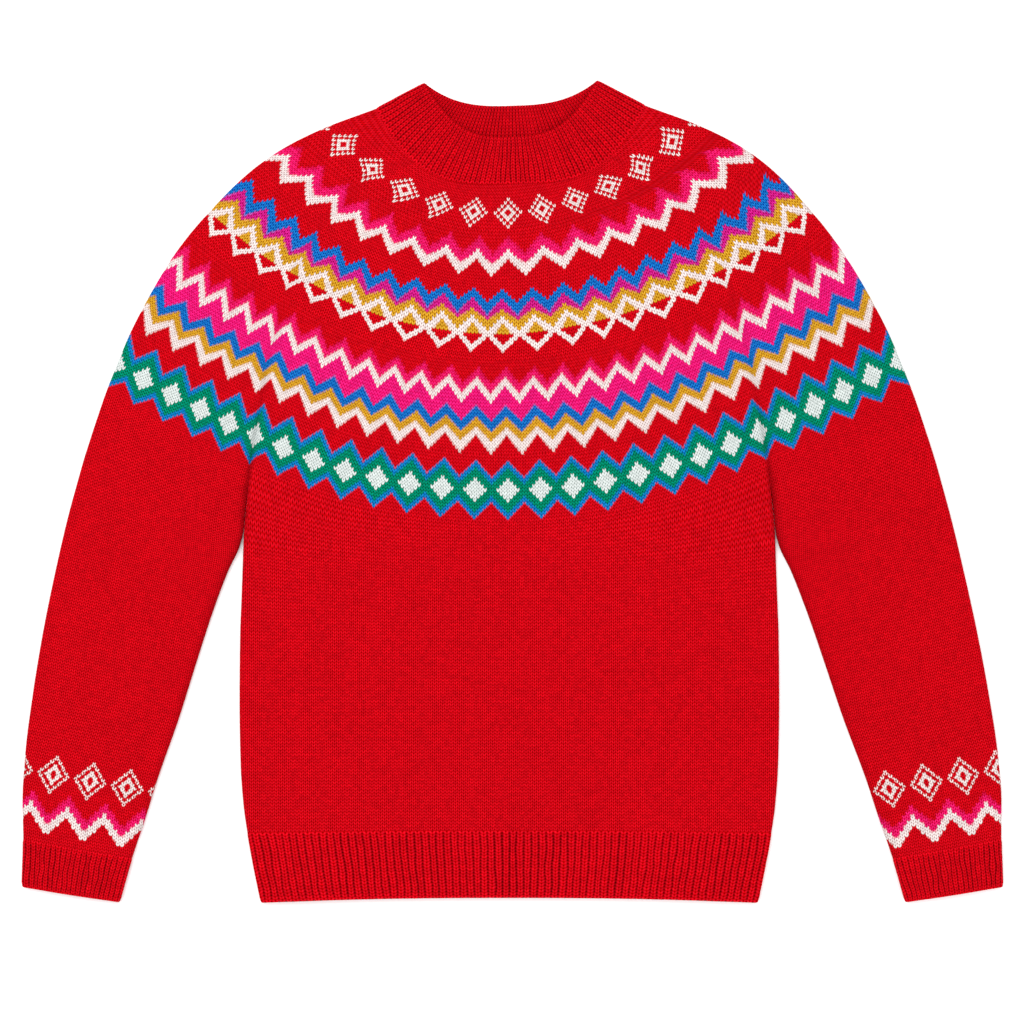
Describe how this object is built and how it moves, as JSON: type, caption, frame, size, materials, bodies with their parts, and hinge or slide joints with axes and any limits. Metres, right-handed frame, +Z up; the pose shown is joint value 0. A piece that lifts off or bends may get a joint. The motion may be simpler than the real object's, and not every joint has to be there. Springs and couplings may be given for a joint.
{
  "type": "fair isle jumper",
  "caption": "Long-sleeved round-necked knitted jumper with a zigzag and diamond patterned yoke and ribbed edges, laid flat with its front up.",
  "frame": {"origin": "on the surface it rests on, under the middle of the whole garment's length and width", "axes": "+X from one cuff to the other (to the viewer's right with the front up), +Y towards the neck, +Z up out of the front"},
  "size_m": [0.8355, 0.7001, 0.0092],
  "materials": {
    "patterned_knit": "stocking stitch in red wool, with a yoke patterned in pink, blue, mustard, green and white",
    "rib_knit": "narrow rib in red wool"
  },
  "bodies": {
    "root": {"front": "patterned_knit", "back": "patterned_knit", "sleeve_left": "patterned_knit", "sleeve_right": "patterned_knit", "neckband": "rib_knit", "hem_rib_front": "rib_knit", "hem_rib_back": "rib_knit", "cuff_rib_left": "rib_knit", "cuff_rib_right": "rib_knit"}
  },
  "joints": []
}
